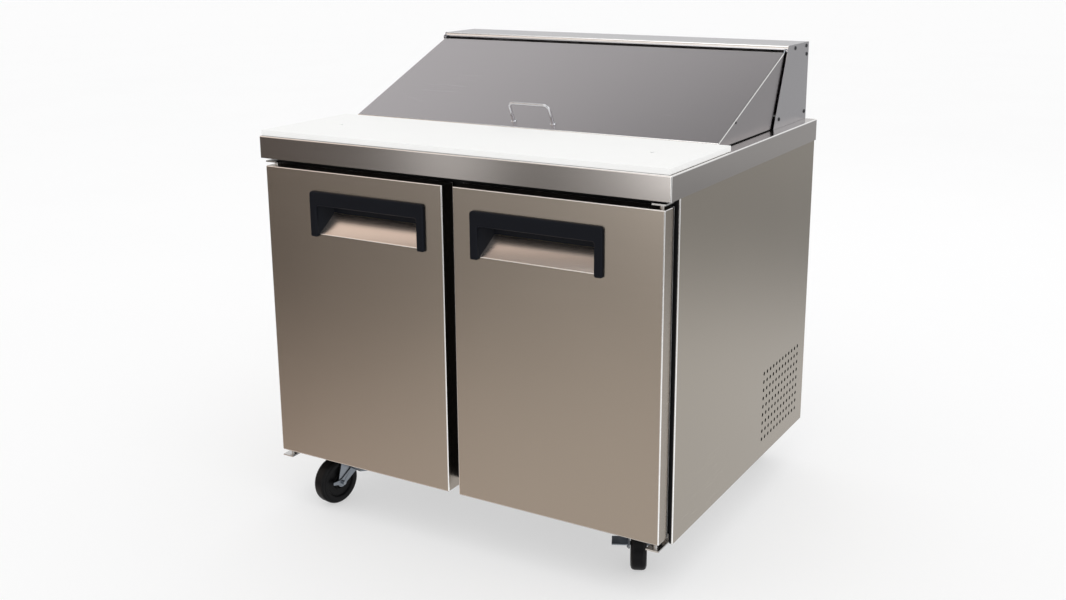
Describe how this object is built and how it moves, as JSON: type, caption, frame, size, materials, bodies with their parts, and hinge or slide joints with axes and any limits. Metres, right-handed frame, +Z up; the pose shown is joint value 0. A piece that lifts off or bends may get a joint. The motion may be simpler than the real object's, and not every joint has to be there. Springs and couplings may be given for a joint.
{
  "type": "sandwich prep table",
  "caption": "Refrigerated stainless prep table with swing doors, a cutting board, food pans under a hinged lid and a rear hood, on swivel casters.",
  "frame": {"origin": "on the floor, under the middle of the footprint's bounding box", "axes": "+Z up, +Y towards the rear, +X towards the right-hand door as seen from the front"},
  "size_m": [0.924, 0.775, 0.975],
  "materials": {
    "brushed_steel": "brushed, satin",
    "plain_steel": "galvanised, dull",
    "pan_steel": "smooth satin",
    "liner_metal": "embossed, satin",
    "foam": "rigid insulating foam",
    "black_plastic": "moulded, fine texture",
    "seal_rubber": "matt",
    "zinc": "bright zinc plate",
    "lever_zinc": "zinc plate",
    "shelf_wire": "epoxy coated",
    "chrome_rod": "polished",
    "coil_metal": "bare fins",
    "compressor_paint": "semi-gloss",
    "box_grey": "satin",
    "board_white": "food-grade board, fine grain",
    "wheel_rubber": "moulded, satin"
  },
  "bodies": {
    "cabinet": {"side_panel_left": "brushed_steel", "side_panel_right": "brushed_steel", "back_panel": "plain_steel", "rear_grille": "plain_steel", "base_pan": "plain_steel", "liner": "liner_metal", "foam_walls": "foam", "face_frame": "black_plastic", "center_mullion": "black_plastic", "worktop": "brushed_steel", "rail_well": "liner_metal", "pan_divider_bar": "pan_steel", "food_pans_front": "pan_steel", "food_pans_rear": "pan_steel", "hood_cover": "brushed_steel", "hood_end_left": "brushed_steel", "hood_end_right": "brushed_steel", "hood_screws": "zinc", "hinge_brackets": "zinc", "wire_shelf_left": "shelf_wire", "wire_shelf_right": "shelf_wire", "shelf_supports": "zinc", "evaporator_housing": "liner_metal", "evaporator_coil": "coil_metal", "compressor": "compressor_paint", "condenser_coil": "coil_metal", "condenser_shroud": "plain_steel", "control_box": "box_grey", "caster_plates": "zinc"},
    "lid": {"lid_cover": "brushed_steel", "lid_end_left": "brushed_steel", "lid_end_right": "brushed_steel", "lid_liner": "liner_metal", "lid_handle": "chrome_rod", "lid_gasket": "seal_rubber"},
    "left_door": {"left_door_skin": "brushed_steel", "left_door_liner": "liner_metal", "left_door_foam": "foam", "left_door_gasket": "seal_rubber", "left_handle_frame": "black_plastic", "left_handle_scoop": "pan_steel"},
    "right_door": {"right_door_skin": "brushed_steel", "right_door_liner": "liner_metal", "right_door_foam": "foam", "right_door_gasket": "seal_rubber", "right_handle_frame": "black_plastic", "right_handle_scoop": "pan_steel"},
    "board": {"cutting_board": "board_white"},
    "evaporator_fan": {"evaporator_fan": "black_plastic"},
    "condenser_fan": {"condenser_fan": "black_plastic"},
    "front_left_caster": {"front_left_fork": "zinc"},
    "front_left_wheel": {"front_left_wheel": "wheel_rubber"},
    "front_left_brake": {"front_left_brake": "lever_zinc"},
    "front_right_caster": {"front_right_fork": "zinc"},
    "front_right_wheel": {"front_right_wheel": "wheel_rubber"},
    "front_right_brake": {"front_right_brake": "lever_zinc"},
    "rear_left_caster": {"rear_left_fork": "zinc"},
    "rear_left_wheel": {"rear_left_wheel": "wheel_rubber"},
    "rear_right_caster": {"rear_right_fork": "zinc"},
    "rear_right_wheel": {"rear_right_wheel": "wheel_rubber"}
  },
  "joints": [
    {"name": "left_door_hinge", "type": "hinge", "parent": "cabinet", "child": "left_door", "pos_m": [-0.436, -0.3625, 0], "axis": [0, 0, -1], "range_deg": [0, 115]},
    {"name": "right_door_hinge", "type": "hinge", "parent": "cabinet", "child": "right_door", "pos_m": [0.436, -0.3625, 0], "axis": [0, 0, 1], "range_deg": [0, 115]},
    {"name": "lid_hinge", "type": "hinge", "parent": "cabinet", "child": "lid", "pos_m": [0, 0.2545, 0.964], "axis": [-1, 0, 0], "range_deg": [0, 115]},
    {"name": "cutting_board_lift", "type": "slide", "parent": "cabinet", "child": "board", "axis": [0, 0, 1], "range_m": [0, 0.06]},
    {"name": "front_left_swivel", "type": "hinge", "parent": "cabinet", "child": "front_left_caster", "pos_m": [-0.34, -0.2995, 0.11], "axis": [0, 0, 1], "continuous": true},
    {"name": "front_left_roll", "type": "hinge", "parent": "front_left_caster", "child": "front_left_wheel", "pos_m": [-0.34573, -0.332, 0.0508], "axis": [0.9848, -0.1736, 0], "continuous": true},
    {"name": "front_left_brake_press", "type": "hinge", "parent": "front_left_caster", "child": "front_left_brake", "pos_m": [-0.34573, -0.332, 0.0508], "axis": [-0.9848, 0.1736, 0], "range_deg": [0, 18]},
    {"name": "front_right_swivel", "type": "hinge", "parent": "cabinet", "child": "front_right_caster", "pos_m": [0.372, -0.2995, 0.11], "axis": [0, 0, 1], "continuous": true},
    {"name": "front_right_roll", "type": "hinge", "parent": "front_right_caster", "child": "front_right_wheel", "pos_m": [0.35805, -0.26959, 0.0508], "axis": [-0.9063, -0.4226, 0], "continuous": true},
    {"name": "front_right_brake_press", "type": "hinge", "parent": "front_right_caster", "child": "front_right_brake", "pos_m": [0.35805, -0.26959, 0.0508], "axis": [0.9063, 0.4226, 0], "range_deg": [0, 18]},
    {"name": "rear_left_swivel", "type": "hinge", "parent": "cabinet", "child": "rear_left_caster", "pos_m": [-0.34, 0.3005, 0.11], "axis": [0, 0, 1], "continuous": true},
    {"name": "rear_left_roll", "type": "hinge", "parent": "rear_left_caster", "child": "rear_left_wheel", "pos_m": [-0.32871, 0.33151, 0.0508], "axis": [-0.9397, 0.342, 0], "continuous": true},
    {"name": "rear_right_swivel", "type": "hinge", "parent": "cabinet", "child": "rear_right_caster", "pos_m": [0.35, 0.3005, 0.11], "axis": [0, 0, 1], "continuous": true},
    {"name": "rear_right_roll", "type": "hinge", "parent": "rear_right_caster", "child": "rear_right_wheel", "pos_m": [0.35573, 0.333, 0.0508], "axis": [-0.9848, 0.1736, 0], "continuous": true},
    {"name": "evaporator_fan_spin", "type": "hinge", "parent": "cabinet", "child": "evaporator_fan", "pos_m": [0, 0.2765, 0.535], "axis": [0, 1, 0], "continuous": true},
    {"name": "condenser_fan_spin", "type": "hinge", "parent": "cabinet", "child": "condenser_fan", "pos_m": [0.359, 0.2355, 0.226], "axis": [1, 0, 0], "continuous": true}
  ]
}
